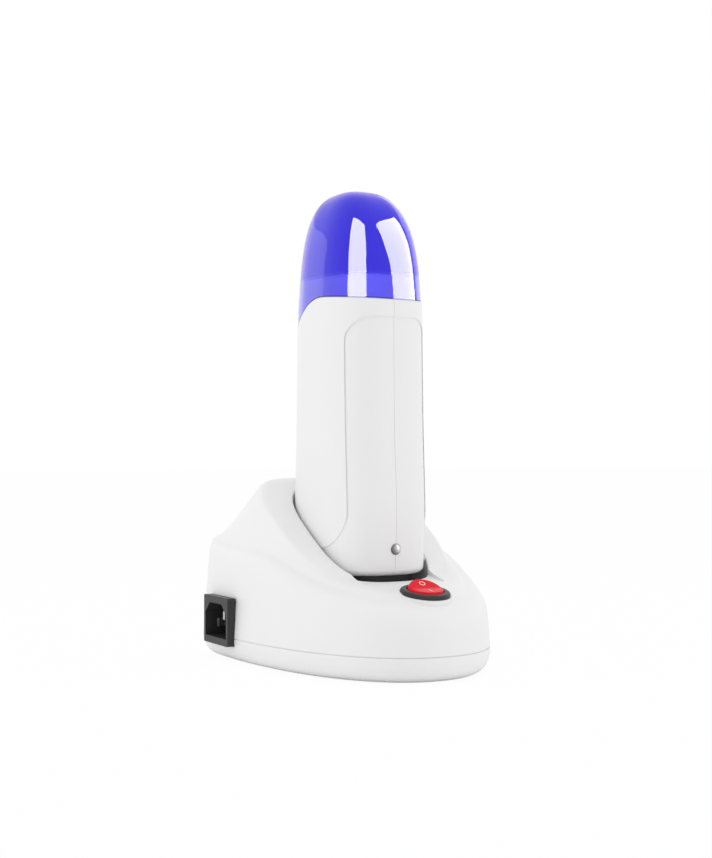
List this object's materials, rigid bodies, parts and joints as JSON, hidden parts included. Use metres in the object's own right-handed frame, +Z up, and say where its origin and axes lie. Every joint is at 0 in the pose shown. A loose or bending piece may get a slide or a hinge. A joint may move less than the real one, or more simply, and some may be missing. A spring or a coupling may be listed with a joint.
{
  "type": "roll-on wax heater",
  "caption": "Handheld wax cartridge heater with a clear domed cap, docked upright in a mains-powered base with a round rocker switch and a mains inlet.",
  "frame": {"origin": "on the ground under the middle of the base, which is also under the docked handset's axis", "axes": "+Z up along the handset; -Y towards the switch; +Y towards the high side of the collar; -X towards the mains inlet"},
  "size_m": [0.1206, 0.1586, 0.2298],
  "materials": {
    "white_plastic": "satin moulded, white",
    "neck_plastic": "satin moulded, white",
    "blue_clear_plastic": "polished, transparent blue",
    "foot_rubber": "matt",
    "screw_steel": "zinc plated",
    "black_plastic": "fine texture",
    "plated_brass": "nickel plated",
    "red_clear_plastic": "polished, translucent red",
    "lamp_glass": "clear",
    "lens_plastic": "polished, clear",
    "contact_brass": "plain",
    "spring_steel": "plain",
    "chamber_aluminium": "satin",
    "heater_ceramic": "polyimide film over ceramic",
    "thermostat_plastic": "phenolic",
    "fuse_metal": "plain",
    "wire_blue": "PVC",
    "wire_brown": "PVC",
    "lead_white": "silicone"
  },
  "bodies": {
    "base": {"base_bottom_tray": "white_plastic", "base_screws": "screw_steel", "base_upper_shell": "white_plastic", "contact_spring_left": "spring_steel", "contact_spring_right": "spring_steel", "dock_block": "black_plastic", "dock_screws": "screw_steel", "dock_terminal_left": "contact_brass", "dock_terminal_right": "contact_brass", "foot_front_left": "foot_rubber", "foot_front_right": "foot_rubber", "foot_rear_left": "foot_rubber", "foot_rear_right": "foot_rubber", "inlet_housing": "black_plastic", "inlet_pin_earth": "plated_brass", "inlet_pin_line": "plated_brass", "inlet_pin_neutral": "plated_brass", "switch_housing": "black_plastic", "switch_lamp": "lamp_glass", "switch_terminals": "contact_brass", "wire_inlet_to_switch": "wire_brown", "wire_neutral_to_dock": "wire_blue", "wire_switch_to_dock": "wire_brown"},
    "rocker": {"switch_rocker": "red_clear_plastic"},
    "pin_left": {"contact_pin_left": "contact_brass"},
    "pin_right": {"contact_pin_right": "contact_brass"},
    "handset": {"handset_left_shell": "white_plastic", "handset_right_shell": "white_plastic", "handset_screws": "screw_steel", "neck_collar": "neck_plastic", "heating_chamber": "chamber_aluminium", "heater_plate_left": "heater_ceramic", "heater_plate_right": "heater_ceramic", "chamber_cradle": "black_plastic", "thermostat": "thermostat_plastic", "thermal_fuse": "fuse_metal", "indicator_lamp": "lens_plastic", "contact_pad_left": "contact_brass", "contact_pad_right": "contact_brass", "lead_to_thermostat": "lead_white", "lead_to_heater": "lead_white"},
    "cap": {"cap": "blue_clear_plastic"}
  },
  "joints": [
    {"name": "rocker_tilt", "type": "hinge", "parent": "base", "child": "rocker", "pos_m": [0, -0.0596, 0.038], "axis": [1, 0, 0], "range_deg": [-20, 0]},
    {"name": "pin_left_press", "type": "slide", "parent": "base", "child": "pin_left", "axis": [0, 0, -1], "range_m": [0, 0.0015], "stiffness_N_per_m": 200, "deforming": ["contact_spring_left"]},
    {"name": "pin_right_press", "type": "slide", "parent": "base", "child": "pin_right", "axis": [0, 0, -1], "range_m": [0, 0.0015], "stiffness_N_per_m": 200, "deforming": ["contact_spring_right"]},
    {"name": "handset_lift", "type": "slide", "parent": "base", "child": "handset", "axis": [0, 0, 1], "range_m": [0, 0.08]},
    {"name": "cap_lift", "type": "slide", "parent": "handset", "child": "cap", "axis": [0, 0, 1], "range_m": [0, 0.06]}
  ]
}
